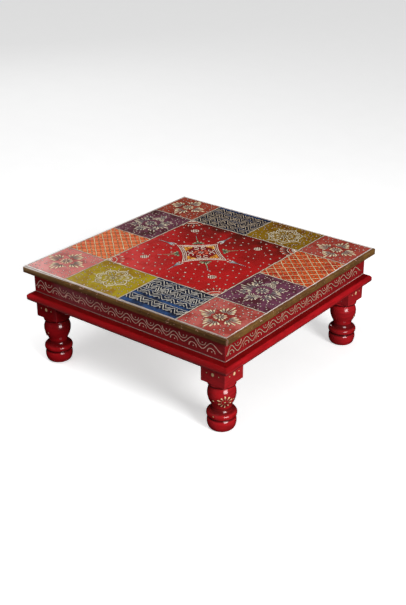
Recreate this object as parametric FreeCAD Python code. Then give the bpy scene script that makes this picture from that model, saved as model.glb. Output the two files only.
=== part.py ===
"""Bajot: a low square table of turned and painted wood, in millimetres.

The origin is on the floor under the middle of the table and +Z points up.
The front of the table faces -Y. Depths are measured down from the top face.
"""
import FreeCAD
import Part
import math
import os
from FreeCAD import Placement, Rotation, Vector

# Whole table
table_height = 161.0
board_side = 380.0
cut_overrun = 5.0

# Top board, with a rounded nose on all four edges
board_thickness = 11.0
board_nose_out = 3.0
board_nose_top = 4.4
board_nose_bottom = 3.6
board_under_in = 2.0
board_corner_radius = 2.5

# Apron boards, mitred at the corners; the face is what shows above the moulding
apron_inset = 8.76
apron_thickness = 15.0
apron_face_height = 32.0
apron_corner_radius = 0.8

# Moulding strips round the foot of the apron, mitred at the corners
moulding_height = 15.7
moulding_out = 10.3
moulding_slope_out = 6.5
moulding_slope_drop = 3.2
moulding_nose_drop = 9.7
moulding_corner_radius = 2.0

# Legs: a square block under the apron, a post above it inside the frame, and a turned foot
block_side = 42.0
block_height = 25.3
block_edge_radius = 1.0
post_top_clearance = 0.2
turning_radius = 21.6

# The turned outline, as shares of the turning radius and of the turned length above the floor
foot_shares = [(0.648, 0.0), (0.829, 0.020), (0.921, 0.067), (0.972, 0.146), (0.944, 0.215), (0.885, 0.250)]
ring_edge_share = (0.968, 0.273)
ring_bead_share = (0.996, 0.345)
ring_top_share = (0.833, 0.394)
urn_shares = [(0.750, 0.402), (0.694, 0.441), (0.685, 0.485), (0.736, 0.531), (0.824, 0.580),
              (0.907, 0.647), (0.950, 0.722), (0.930, 0.795), (0.855, 0.858), (0.775, 0.903)]
collar_under_share = (0.870, 0.913)
collar_bend_share = (0.925, 0.925)
collar_side_share = (0.940, 0.950)

# Cleats under the board and the batten across its middle
cleat_side = 18.0
cleat_end_gap = 0.8
cleat_edge_chamfer = 1.5
batten_width = 40.0
batten_edge_chamfer = 2.0

# Screws with countersunk heads and a cross recess; a bite is how far the point goes into the second piece
screw_radius = 1.75
screw_head_radius = 3.5
screw_head_height = 2.2
screw_point_height = 3.5
screw_hole_gap = 0.1
recess_width = 1.1
recess_length = 4.0
recess_depth = 1.2
board_screw_bite = 7.0
cleat_screw_bite = 12.0
leg_screw_bite = 8.0
moulding_screw_bite = 7.0
leg_screw_below_cleat = 8.0
leg_screw_step = 11.0
board_screw_place_share = 0.72
batten_screw_place_share = 0.5
cleat_screw_place_share = 0.36
moulding_screw_place_share = 0.52

# Sizes that follow from the ones above
board_half = board_side / 2
apron_half = board_half - apron_inset
apron_inner_half = apron_half - apron_thickness
line_depth = board_thickness + apron_face_height
moulding_bottom_depth = line_depth + moulding_height
block_half = block_side / 2
leg_place = apron_half - block_half
post_inner = leg_place - block_half
post_centre = (post_inner + apron_inner_half) / 2
post_side = apron_inner_half - post_inner
shoulder_depth = moulding_bottom_depth + block_height
turned_length = table_height - shoulder_depth
cleat_depth = board_thickness + cleat_side
cleat_inner = apron_inner_half - cleat_side
cleat_half_length = post_inner - cleat_end_gap
leg_screw_upper_depth = cleat_depth + leg_screw_below_cleat
leg_screw_lower_depth = leg_screw_upper_depth + leg_screw_step
moulding_screw_depth = line_depth + moulding_nose_drop
half_turn_share = math.sqrt(0.5)

SIDES = {"front": 0, "right": 90, "back": 180, "left": 270}
LEGS = {"front_right": 0, "back_right": 90, "back_left": 180, "front_left": 270}
UP = Vector(0, 0, 1)
CENTRE = Vector(0, 0, 0)


def height(depth):
    """The height above the floor of something that lies this deep under the top face."""
    return table_height - depth


def turned(shape, degrees):
    """A copy of the shape, turned about the table's middle."""
    copy = shape.copy()
    copy.rotate(CENTRE, UP, degrees)
    return copy


def box(x_low, x_high, y_low, y_high, depth_low, depth_high):
    """A block between two X, two Y and two depths, the first depth the upper one."""
    corner = Vector(x_low, y_low, height(depth_high))
    return Part.makeBox(x_high - x_low, y_high - y_low, depth_high - depth_low, corner)


def line(start, end):
    return Part.LineSegment(start, end).toShape()


def arc(start, middle, end):
    return Part.Arc(start, middle, end).toShape()


def rounded_column(half, radius):
    """A square column as tall as the table, with its four upright edges rounded."""
    column = box(-half, half, -half, half, -cut_overrun, table_height + cut_overrun)
    upright = [edge for edge in column.Edges if abs(edge.tangentAt(edge.FirstParameter).z) > 0.5]
    return column.makeFillet(radius, upright)


def wedge(half):
    """The quarter of the table that belongs to its front side, cut along the two mitres."""
    reach = half + cut_overrun
    points = [CENTRE, Vector(-reach, -reach, 0), Vector(reach, -reach, 0), CENTRE]
    return Part.Face(Part.makePolygon(points)).extrude(Vector(0, 0, table_height))


# The top board

def board_section(half_length):
    """A bar along X with the board's nosed section across Y."""
    edge = board_half
    nose = board_half + board_nose_out
    top = height(0)
    nose_top = height(board_nose_top)
    nose_low = height(board_thickness - board_nose_bottom)
    bottom = height(board_thickness)
    upper_bend = (edge + half_turn_share * board_nose_out, nose_top + half_turn_share * board_nose_top)
    lower_bend = (nose - (1 - half_turn_share) * board_under_in,
                  nose_low - half_turn_share * board_nose_bottom)
    under = nose - board_under_in

    def at(y, z):
        return Vector(-half_length, y, z)

    edges = [
        line(at(-edge, top), at(edge, top)),
        arc(at(edge, top), at(*upper_bend), at(nose, nose_top)),
        line(at(nose, nose_top), at(nose, nose_low)),
        arc(at(nose, nose_low), at(*lower_bend), at(under, bottom)),
        line(at(under, bottom), at(-under, bottom)),
        arc(at(-under, bottom), at(-lower_bend[0], lower_bend[1]), at(-nose, nose_low)),
        line(at(-nose, nose_low), at(-nose, nose_top)),
        arc(at(-nose, nose_top), at(-upper_bend[0], upper_bend[1]), at(-edge, top)),
    ]
    return Part.Face(Part.Wire(edges)).extrude(Vector(2 * half_length, 0, 0))


def make_board():
    nose = board_half + board_nose_out
    bar = board_section(nose + cut_overrun)
    board = bar.common(turned(bar, 90))
    return board.common(rounded_column(nose, board_corner_radius))


# The frame under it

def make_apron():
    """The front apron board, mitred at both ends."""
    plank = box(-apron_half, apron_half, -apron_half, -apron_inner_half,
                board_thickness, moulding_bottom_depth)
    mitred = plank.common(wedge(apron_half))
    return mitred.common(rounded_column(apron_half, apron_corner_radius))


def make_moulding():
    """The front moulding strip: a sloped top, a rounded nose and a flat underside."""
    reach = apron_half + moulding_out
    out_run = moulding_out - moulding_slope_out
    drop_run = moulding_nose_drop - moulding_slope_drop
    upper_radius = (out_run ** 2 + drop_run ** 2) / (2 * out_run)
    half_angle = math.asin(drop_run / upper_radius) / 2
    upper_bend = (moulding_out - upper_radius * (1 - math.cos(half_angle)),
                  moulding_nose_drop - upper_radius * math.sin(half_angle))
    lower_radius = moulding_height - moulding_nose_drop
    under_out = moulding_out - lower_radius
    lower_bend = (under_out + half_turn_share * lower_radius,
                  moulding_nose_drop + half_turn_share * lower_radius)

    def at(out, drop):
        return Vector(-reach - cut_overrun, -apron_half - out, height(line_depth + drop))

    crease = at(moulding_slope_out, moulding_slope_drop)
    nose = at(moulding_out, moulding_nose_drop)
    edges = [
        line(at(0, 0), crease),
        arc(crease, at(*upper_bend), nose),
        arc(nose, at(*lower_bend), at(under_out, moulding_height)),
        line(at(under_out, moulding_height), at(0, moulding_height)),
        line(at(0, moulding_height), at(0, 0)),
    ]
    strip = Part.Face(Part.Wire(edges)).extrude(Vector(2 * (reach + cut_overrun), 0, 0))
    mitred = strip.common(wedge(reach))
    return mitred.common(rounded_column(reach, moulding_corner_radius))


def make_cleat():
    """The front cleat, which holds the board to the apron between two leg posts."""
    bar = box(-cleat_half_length, cleat_half_length, -apron_inner_half, -cleat_inner,
              board_thickness, cleat_depth)
    inner = Vector(0, -cleat_inner, height(cleat_depth))
    edge = min(bar.Edges, key=lambda each: each.CenterOfMass.sub(inner).Length)
    return bar.makeChamfer(cleat_edge_chamfer, [edge])


def make_batten():
    """The batten across the middle of the board, from the front cleat to the back one."""
    half = batten_width / 2
    bar = box(-half, half, -cleat_inner, cleat_inner, board_thickness, cleat_depth)
    low = [edge for edge in bar.Edges
           if edge.CenterOfMass.z < height((board_thickness + cleat_depth) / 2)
           and abs(edge.CenterOfMass.x) > half / 2 and edge.Length > batten_width]
    return bar.makeChamfer(batten_edge_chamfer, low)


# The legs

def smooth(points):
    """A smooth curve through the points."""
    curve = Part.BSplineCurve()
    curve.interpolate(points)
    return curve.toShape()


def leg_outline():
    """The turned foot's half section: foot, ring, urn, and a collar that is carried up into the block."""
    def at(share):
        radius_share, height_share = share
        return Vector(radius_share * turning_radius, 0, height_share * turned_length)

    foot = [at(share) for share in foot_shares]
    urn = [at(share) for share in urn_shares]
    collar_top = Vector(at(collar_side_share).x, 0, turned_length + block_height / 2)
    axis_top = Vector(0, 0, collar_top.z)
    return [
        line(CENTRE, foot[0]),
        smooth(foot),
        line(foot[-1], at(ring_edge_share)),
        arc(at(ring_edge_share), at(ring_bead_share), at(ring_top_share)),
        line(at(ring_top_share), urn[0]),
        smooth(urn),
        line(urn[-1], at(collar_under_share)),
        arc(at(collar_under_share), at(collar_bend_share), at(collar_side_share)),
        line(at(collar_side_share), collar_top),
        line(collar_top, axis_top),
        line(axis_top, CENTRE),
    ]


def squared_wood():
    """The part of a leg that stays square, on the leg's axis: the block with the narrower post on it."""
    post_reach = apron_inner_half - leg_place
    block = box(-block_half, block_half, -block_half, block_half,
                moulding_bottom_depth, shoulder_depth)
    post = box(-block_half, post_reach, -post_reach, block_half,
               board_thickness + post_top_clearance, moulding_bottom_depth)
    wood = block.fuse(post).removeSplitter()
    corner_reach = (block_half + post_reach) / 2
    corners = [edge for edge in wood.Edges
               if abs(edge.tangentAt(edge.FirstParameter).z) > 0.5
               and min(abs(edge.CenterOfMass.x), abs(edge.CenterOfMass.y)) > corner_reach]
    return wood.makeFillet(block_edge_radius, corners)


def make_leg():
    """The front right leg: post, square block and turned foot in one piece of wood."""
    turning = Part.Face(Part.Wire(leg_outline())).revolve(CENTRE, UP, 360)
    leg = squared_wood().fuse(turning).removeSplitter()
    leg.translate(Vector(leg_place, -leg_place, 0))
    return leg


# Screws and their holes

def screw_outside(length, gap):
    """A screw that points down from its head's face at the origin, made larger all round by the gap."""
    radius = screw_radius + gap
    outline = Part.makePolygon([
        CENTRE,
        Vector(screw_head_radius + gap, 0, 0),
        Vector(radius, 0, -screw_head_height),
        Vector(radius, 0, screw_point_height - length),
        Vector(0, 0, -length - gap),
        CENTRE,
    ])
    return Part.Face(outline).revolve(CENTRE, UP, 360)


def screw_shape(length):
    body = screw_outside(length, 0)
    slot = Part.makeBox(recess_length, recess_width, 2 * recess_depth,
                        Vector(-recess_length / 2, -recess_width / 2, -recess_depth))
    return body.cut(slot.fuse(turned(slot, 90)))


def hole_shape(length):
    """The countersunk hole that a screw of this length lies in."""
    return screw_outside(length, screw_hole_gap)


def driven(shape, point, direction):
    """The shape with its head at the point and its tip along the direction."""
    placed = shape.copy()
    placed.Placement = Placement(point, Rotation(-UP, direction)).multiply(placed.Placement)
    return placed


def board_screw_places():
    """Up through the four cleats and the batten into the board."""
    head = height(cleat_depth)
    row = -(apron_inner_half + cleat_inner) / 2
    reach = board_screw_place_share * cleat_half_length
    places = []
    for degrees in SIDES.values():
        turn = Rotation(UP, degrees)
        for along in (-reach, reach):
            places.append((turn.multVec(Vector(along, row, head)), UP))
    batten_reach = batten_screw_place_share * cleat_inner
    for along in (-batten_reach, batten_reach):
        places.append((Vector(0, along, head), UP))
    return places


def outward_places(reaches, inner, depth):
    """Outwards through the inner face of all four sides, at these distances along each side."""
    places = []
    for degrees in SIDES.values():
        turn = Rotation(UP, degrees)
        for along in reaches:
            point = Vector(along, -inner, height(depth))
            places.append((turn.multVec(point), turn.multVec(Vector(0, -1, 0))))
    return places


def cleat_screw_places():
    """Through the cleats into the aprons."""
    reach = cleat_screw_place_share * cleat_half_length
    return outward_places((-reach, reach), cleat_inner, (board_thickness + cleat_depth) / 2)


def moulding_screw_places():
    """Through the aprons into the mouldings."""
    reach = moulding_screw_place_share * apron_half
    return outward_places((-reach, 0, reach), apron_inner_half, moulding_screw_depth)


def leg_screw_places():
    """Through the two inner faces of each leg post into the aprons that meet round it."""
    return (outward_places((post_centre,), post_inner, leg_screw_upper_depth)
            + outward_places((-post_centre,), post_inner, leg_screw_lower_depth))


def group(length, places, shape_of):
    """Every screw, or every screw's hole, of one kind as separate solids."""
    pattern = shape_of(length)
    return [driven(pattern, point, direction) for point, direction in places]


SCREWS = {
    "board_screws": (cleat_side + board_screw_bite, board_screw_places()),
    "cleat_screws": (cleat_side + cleat_screw_bite, cleat_screw_places()),
    "leg_screws": (post_side + leg_screw_bite, leg_screw_places()),
    "moulding_screws": (apron_thickness + moulding_screw_bite, moulding_screw_places()),
}


# The whole table

def make_wood():
    """Every wooden piece by its name, before the screw holes."""
    pieces = {"top_board": make_board(), "centre_batten": make_batten()}
    for kind, make in (("apron", make_apron), ("moulding", make_moulding), ("cleat", make_cleat)):
        pattern = make()
        for side, degrees in SIDES.items():
            pieces[kind + "_" + side] = turned(pattern, degrees)
    leg = make_leg()
    for corner, degrees in LEGS.items():
        pieces["leg_" + corner] = turned(leg, degrees)
    return pieces


def drill(piece, holes):
    """The piece without the holes that reach it."""
    reached = [hole for hole in holes if hole.BoundBox.intersect(piece.BoundBox)]
    return piece.cut(reached) if reached else piece


def main():
    os.makedirs("parts", exist_ok=True)
    holes = []
    for length, places in SCREWS.values():
        holes += group(length, places, hole_shape)
    pieces = {name: drill(piece, holes) for name, piece in make_wood().items()}
    for name, (length, places) in SCREWS.items():
        pieces[name] = Part.makeCompound(group(length, places, screw_shape))
    for name, piece in pieces.items():
        solids = len(piece.Solids)
        print(name, "solids", solids, "volume", round(piece.Volume, 1), "valid", piece.isValid())
        shape = piece.Solids[0] if solids == 1 else piece
        shape.exportStep("parts/" + name + ".step")


main()
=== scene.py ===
"""Bajot low table: colours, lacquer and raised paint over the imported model.

Sizes are millimetres on the table, and turn into metres where a mesh is made.
The front of the table faces -Y, and +Z is up.
"""
import math
import random

import bpy
import numpy as np
from mathutils import Matrix, Vector


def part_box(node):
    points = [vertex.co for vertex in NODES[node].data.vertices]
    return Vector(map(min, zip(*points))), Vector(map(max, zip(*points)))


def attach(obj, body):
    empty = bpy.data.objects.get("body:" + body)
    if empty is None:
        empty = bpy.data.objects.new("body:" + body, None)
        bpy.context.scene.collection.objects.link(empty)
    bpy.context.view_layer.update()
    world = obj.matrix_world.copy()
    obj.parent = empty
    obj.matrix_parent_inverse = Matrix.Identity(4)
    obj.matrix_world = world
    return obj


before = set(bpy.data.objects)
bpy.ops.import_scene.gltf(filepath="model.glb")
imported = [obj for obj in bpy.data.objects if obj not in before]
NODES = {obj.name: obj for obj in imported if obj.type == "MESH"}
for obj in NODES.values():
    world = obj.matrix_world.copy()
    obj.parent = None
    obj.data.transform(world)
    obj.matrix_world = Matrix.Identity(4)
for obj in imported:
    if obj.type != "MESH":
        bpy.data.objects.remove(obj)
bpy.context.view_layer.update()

MM = 0.001
SIDES = ("front", "right", "back", "left")
CORNERS = ("front_right", "back_right", "back_left", "front_left")

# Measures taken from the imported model, and two that its boxes do not give
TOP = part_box("top_board")[1].z / MM
BOARD_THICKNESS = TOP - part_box("top_board")[0].z / MM
NOSE_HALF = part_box("top_board")[1].x / MM
NOSE_WIDTH = 3.0
BOARD_HALF = NOSE_HALF - NOSE_WIDTH
APRON_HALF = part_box("apron_right")[1].x / MM
APRON_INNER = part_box("cleat_right")[1].x / MM
MOULDING_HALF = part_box("moulding_right")[1].x / MM
MOULDING_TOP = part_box("moulding_right")[1].z / MM
MOULDING_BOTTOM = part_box("moulding_right")[0].z / MM
BLOCK_SIDE = 42.0
LEG_PLACE = APRON_HALF - BLOCK_SIDE / 2

# The patchwork: where the cream lines run on the top
LINE_LEFT, LINE_RIGHT = -108.2, 102.2
LINE_FRONT, LINE_BACK = -98.8, 110.3
SPLIT_FRONT, SPLIT_BACK = -3.0, 0.1
SPLIT_LEFT, SPLIT_RIGHT = 4.3, 5.9
ARRIS_LINE = 188.6


def srgb(red, green, blue):
    """A colour given in 0-255 screen values, as linear light."""
    def linear(value):
        value /= 255
        return value / 12.92 if value <= 0.04045 else ((value + 0.055) / 1.055) ** 2.4
    return (linear(red), linear(green), linear(blue), 1.0)


# Materials are written as arithmetic on sockets

class Value:
    """A socket, or a plain number, that can be added, multiplied and compared."""

    def __init__(self, tree, socket):
        self.tree, self.socket = tree, socket

    def _math(self, operation, *others, clamp=False):
        node = self.tree.nodes.new("ShaderNodeMath")
        node.operation, node.use_clamp = operation, clamp
        for index, value in enumerate((self,) + others):
            plug(self.tree, node.inputs[index], value)
        return Value(self.tree, node.outputs[0])

    def __add__(self, other):
        return self._math("ADD", other)

    def __radd__(self, other):
        return self._math("ADD", other)

    def __sub__(self, other):
        return self._math("SUBTRACT", other)

    def __rsub__(self, other):
        return (self * -1)._math("ADD", other)

    def __mul__(self, other):
        return self._math("MULTIPLY", other)

    def __rmul__(self, other):
        return self._math("MULTIPLY", other)

    def __gt__(self, other):
        return self._math("GREATER_THAN", other)

    def __lt__(self, other):
        return self._math("LESS_THAN", other)

    def abs(self):
        return self._math("ABSOLUTE")

    def most(self, other):
        return self._math("MAXIMUM", other)

    def clamped(self):
        return self._math("ADD", 0.0, clamp=True)

    def ramp(self, low, high, start=0.0, end=1.0):
        """Smoothly from start to end while the value goes from low to high."""
        node = self.tree.nodes.new("ShaderNodeMapRange")
        node.interpolation_type = "SMOOTHSTEP"
        for name, value in (("Value", self), ("From Min", low), ("From Max", high),
                            ("To Min", start), ("To Max", end)):
            plug(self.tree, node.inputs[name], value)
        return Value(self.tree, node.outputs["Result"])

    def fall(self, low, high):
        return self.ramp(low, high, 1.0, 0.0)


def plug(tree, socket, value):
    if isinstance(value, Value):
        tree.links.new(value.socket, socket)
    else:
        socket.default_value = value


class Paint:
    """A material under construction; x, y and z are millimetres on the table."""

    def __init__(self, name):
        self.material = bpy.data.materials.new(name)
        self.material.use_nodes = True
        self.tree = self.material.node_tree
        self.tree.nodes.clear()
        self.colour = None
        output = self.node("OutputMaterial")
        self.shader = self.node("BsdfPrincipled")
        self.tree.links.new(self.shader.outputs[0], output.inputs["Surface"])
        place = self.node("TexCoord")
        self.place = self.scaled(place.outputs["Object"], (1 / MM,) * 3)
        split = self.node("SeparateXYZ")
        self.tree.links.new(self.place.socket, split.inputs[0])
        self.x, self.y, self.z = (Value(self.tree, split.outputs[i]) for i in range(3))

    def node(self, kind):
        return self.tree.nodes.new("ShaderNode" + kind)

    def scaled(self, socket, factors):
        node = self.node("VectorMath")
        node.operation = "MULTIPLY"
        plug(self.tree, node.inputs[0], Value(self.tree, socket))
        node.inputs[1].default_value = factors
        return Value(self.tree, node.outputs[0])

    def noise(self, size, detail=3.0, rough=0.5, stretch=(1, 1, 1), low=0.3, high=0.7, seed=0.0):
        """Cloudy noise from 0 to 1, with blotches of about this size in millimetres."""
        node = self.node("TexNoise")
        node.noise_dimensions = "4D"
        place = self.scaled(self.place.socket, tuple(1 / (size * s) for s in stretch))
        self.tree.links.new(place.socket, node.inputs["Vector"])
        node.inputs["W"].default_value = seed
        node.inputs["Scale"].default_value = 1.0
        node.inputs["Detail"].default_value = detail
        node.inputs["Roughness"].default_value = rough
        return Value(self.tree, node.outputs["Fac"]).ramp(low, high)

    def cells(self, size):
        """Distance from scattered points, for specks about this far apart."""
        node = self.node("TexVoronoi")
        place = self.scaled(self.place.socket, (1 / size,) * 3)
        self.tree.links.new(place.socket, node.inputs["Vector"])
        node.inputs["Scale"].default_value = 1.0
        node.inputs["Randomness"].default_value = 1.0
        return Value(self.tree, node.outputs["Distance"])

    def mix(self, factor, first, second):
        node = self.node("Mix")
        node.data_type = "RGBA"
        plug(self.tree, node.inputs[0], factor)
        plug(self.tree, node.inputs[6], first)
        plug(self.tree, node.inputs[7], second)
        return Value(self.tree, node.outputs[2])

    def coat(self, factor, colour):
        """Lays another colour over the one so far."""
        self.colour = self.mix(factor, self.colour, colour)

    def attribute(self, name):
        node = self.node("Attribute")
        node.attribute_name = name
        return Value(self.tree, node.outputs["Fac"])

    def normal(self, axis):
        """How far the surface faces along X, Y or Z of the table."""
        node = self.node("NewGeometry")
        split = self.node("SeparateXYZ")
        self.tree.links.new(node.outputs["Normal"], split.inputs[0])
        return Value(self.tree, split.outputs[axis])

    def finish(self, colour, rough, relief=None, depth=0.1, **settings):
        """Connects the colour, the roughness and the bump height (0-1, times depth in millimetres)."""
        plug(self.tree, self.shader.inputs["Base Color"], colour)
        plug(self.tree, self.shader.inputs["Roughness"], rough)
        for name, value in settings.items():
            self.shader.inputs[name.replace("_", " ")].default_value = value
        if relief is not None:
            bump = self.node("Bump")
            bump.inputs["Strength"].default_value = 1.0
            bump.inputs["Distance"].default_value = depth * MM
            plug(self.tree, bump.inputs["Height"], relief)
            self.tree.links.new(bump.outputs["Normal"], self.shader.inputs["Normal"])
        return self.material


def band(value, low, high):
    """1 between low and high, else 0."""
    return (value > low) * (value < high)


def wear(node_name, material):
    """Gives a CAD node this material."""
    mesh = NODES[node_name].data
    mesh.materials.clear()
    mesh.materials.append(material)


CELLS = [
    # x from, x to, y from, y to, main colour and second colour in screen values
    (-BOARD_HALF, LINE_LEFT, -BOARD_HALF, LINE_FRONT, (218, 124, 117), (196, 102, 98)),
    (LINE_LEFT, SPLIT_FRONT, -BOARD_HALF, LINE_FRONT, (174, 152, 8), (154, 116, 14)),
    (SPLIT_FRONT, LINE_RIGHT, -BOARD_HALF, LINE_FRONT, (40, 74, 122), (22, 30, 48)),
    (LINE_RIGHT, BOARD_HALF, -BOARD_HALF, LINE_FRONT, (196, 100, 92), (162, 62, 54)),
    (LINE_RIGHT, BOARD_HALF, LINE_FRONT, SPLIT_RIGHT, (114, 63, 86), (84, 38, 46)),
    (LINE_RIGHT, BOARD_HALF, SPLIT_RIGHT, LINE_BACK, (224, 77, 18), (182, 37, 20)),
    (LINE_RIGHT, BOARD_HALF, LINE_BACK, BOARD_HALF, (180, 78, 66), (154, 54, 42)),
    (SPLIT_BACK, LINE_RIGHT, LINE_BACK, BOARD_HALF, (146, 110, 14), (112, 66, 14)),
    (LINE_LEFT, SPLIT_BACK, LINE_BACK, BOARD_HALF, (50, 72, 112), (32, 30, 38)),
    (-BOARD_HALF, LINE_LEFT, LINE_BACK, BOARD_HALF, (172, 76, 54), (134, 46, 32)),
    (-BOARD_HALF, LINE_LEFT, SPLIT_LEFT, LINE_BACK, (114, 62, 80), (70, 36, 34)),
    (-BOARD_HALF, LINE_LEFT, LINE_FRONT, SPLIT_LEFT, (253, 119, 60), (224, 74, 48)),
]
CORNER_CENTRES = (complex(145.6, -146.0), complex(-152.6, -139.8),
                  complex(147.7, 148.7), complex(-151.3, 152.6))
STAR = complex(-11.6, 11.6)
# The striped ovals round the star
OVALS = (complex(-74.3, 75.6), complex(49.7, 76.9), complex(-70.4, -53.7), complex(57.6, -49.7))
# The straight bands of the blue cells, between their two heights on the plan
FRONT_BANDS = ((-177.6, -162.4), (-153.6, -140.4), (-137.2, -120.4), (-117.0, -102.0))
BACK_BANDS = ((113.4, 126.4), (130.0, 145.6), (149.0, 163.6), (167.6, 182.0))


def make_board_paint():
    """The patchwork top, the bronze-gold nose and the bare underside."""
    p = Paint("board_patchwork")
    x, y, z = p.x, p.y, p.z
    clouds = p.noise(46, 4, 0.6, seed=1.0)
    patches = p.noise(14, 4, 0.62, low=0.38, high=0.66, seed=2.0)
    brush = p.noise(5, 3, 0.6, stretch=(0.35, 9, 1), seed=3.0)
    tone = (clouds * 0.45 + patches * 0.35 + brush * 0.2).ramp(0.3, 0.75)
    red_clouds = p.noise(42, 3, 0.55, low=0.4, high=0.72, seed=4.0)
    centre_light = p.mix(red_clouds, srgb(190, 27, 27), srgb(154, 23, 20))
    brown = (y.ramp(20, 110) * 0.95 + 0.04) * p.noise(34, 3, 0.55, low=0.2, high=0.58, seed=5.0)
    # Painted reflection: the red centre turns lighter and pinker towards the front-left
    painted_glare = (x * 0.8 + y * 0.6).fall(-130, -30) * p.noise(26, high=0.6, seed=24.0)
    p.colour = p.mix(painted_glare * 0.9, centre_light, srgb(226, 72, 70))
    p.coat(brown, srgb(84, 24, 16))
    in_star = ((x - STAR.real).abs() + (y - STAR.imag).abs()).fall(30, 38)
    p.coat(in_star * 0.75, srgb(104, 14, 18))
    for x_low, x_high, y_low, y_high, main, second in CELLS:
        inside = band(x, x_low, x_high) * band(y, y_low, y_high)
        p.coat(inside, p.mix(tone, srgb(*main), srgb(*second)))
    for low, high in FRONT_BANDS + BACK_BANDS:
        inside = band(y, low, high) * (x > LINE_LEFT) * (x < LINE_RIGHT)
        blue = inside * ((x > SPLIT_FRONT) if high < 0 else (x < SPLIT_BACK))
        p.coat(blue * 0.85, srgb(16, 19, 30))
    for centre in CORNER_CENTRES:
        away = (x - centre.real) * (x - centre.real) + (y - centre.imag) * (y - centre.imag)
        p.coat(away.fall(15 * 15, 36 * 36) * patches * 0.72, srgb(128, 26, 22))
    grime_lines = None
    for value, place in ((x, LINE_LEFT), (x, LINE_RIGHT), (y, LINE_FRONT), (y, LINE_BACK)):
        near = (value - place).abs().fall(0.6, 3.2)
        grime_lines = near if grime_lines is None else grime_lines.most(near)
    specks = p.cells(3.1).fall(0.08, 0.2) * p.noise(9, 2, seed=6.0)
    dirt = (grime_lines * 0.35 + specks * 0.35 + (1 - brush) * 0.16).clamped()
    p.coat(dirt, srgb(52, 22, 16))
    fine = p.noise(0.9, 2, 0.6, seed=7.0)
    rough_top = 0.38 + clouds * 0.1 + fine * 0.08 + dirt * 0.12
    # The nose: gold size rubbed over dark brown
    streak = p.noise(9, 3, 0.55, stretch=(1, 1, 0.07), low=0.25, high=0.75, seed=8.0)
    rub = p.noise(30, 3, 0.55, seed=9.0)
    down = TOP - z
    low_edge = down.ramp(BOARD_THICKNESS * 0.4, BOARD_THICKNESS * 0.7)
    nose = p.mix((streak * 0.55 + rub * 0.45).ramp(0.2, 0.85), srgb(126, 92, 48), srgb(92, 62, 36))
    chips = p.noise(3.4, 3, 0.6, low=0.62, high=0.66, seed=21.0)
    chips = chips * p.noise(24, 2, 0.5, low=0.46, high=0.58, seed=22.0)
    # Painted shade on the nose: darker just under its top arris, and darker towards its lower edge, most of
    # all on the front
    nose = p.mix(down.ramp(0.4, 2.6, 0.4, 0.0), nose, srgb(70, 48, 26))
    nose = p.mix(low_edge * ((y < -BOARD_HALF) * 0.3 + 0.1), nose, srgb(78, 36, 24))
    red_edge = down.ramp(BOARD_THICKNESS * 0.72, BOARD_THICKNESS * 0.84, 0.0, 0.85)
    nose = p.mix(red_edge, nose, srgb(112, 24, 20))
    # Painted light on the front nose: painted shade darkens it towards the right, and a painted reflection
    # lightens its left end
    front = (y < -BOARD_HALF) * down.fall(BOARD_THICKNESS * 0.4, BOARD_THICKNESS * 0.7)
    nose = p.mix(front * x.ramp(-60, 40, 0.0, 0.45), nose, srgb(60, 38, 18))
    nose = p.mix(front * x.ramp(-185, -110, 0.4, 0.0), nose, srgb(160, 128, 96))
    nose = p.mix(chips * 0.85, nose, srgb(208, 156, 136))
    corner = (x.abs() + y.abs()).ramp(2 * NOSE_HALF - 2.8, 2 * NOSE_HALF - 1.0, 0.0, 0.45)
    nose = p.mix(corner, nose, srgb(186, 132, 118))
    outside = x.abs().most(y.abs()).ramp(BOARD_HALF - 0.3, BOARD_HALF + 0.5)
    p.coat(outside, nose)
    # The cream line spreads over the front arris; its widening to the left is a painted highlight on the
    # rounded arris
    over = (y + BOARD_HALF) * -1
    rim = (over > 0) * (over < x.ramp(-190, -60, 2.3, 1.0)) * (down < 5) * x.ramp(-60, 80, 1.0, 0.2)
    rim = rim * p.noise(5, 3, 0.6, low=0.1, high=0.36, seed=23.0)
    p.coat(rim * 0.9, srgb(226, 218, 214))
    rough = rough_top * (1 - outside) + (0.34 + streak * 0.2) * outside
    # Below, the plank is bare
    grain = p.noise(3.2, 4, 0.62, stretch=(14, 1, 1), seed=10.0)
    bare = p.mix(grain, srgb(176, 132, 88), srgb(126, 84, 50))
    under = p.normal(2).fall(-0.8, -0.6)
    p.coat(under, bare)
    rough = rough * (1 - under) + under * 0.7
    relief = brush * 0.5 + fine * 0.2 + patches * 0.3
    return p.finish(p.colour, rough.clamped(), relief, 0.05, Specular_IOR_Level=0.25, Coat_Weight=0.3,
                    Coat_Roughness=0.17)


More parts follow.
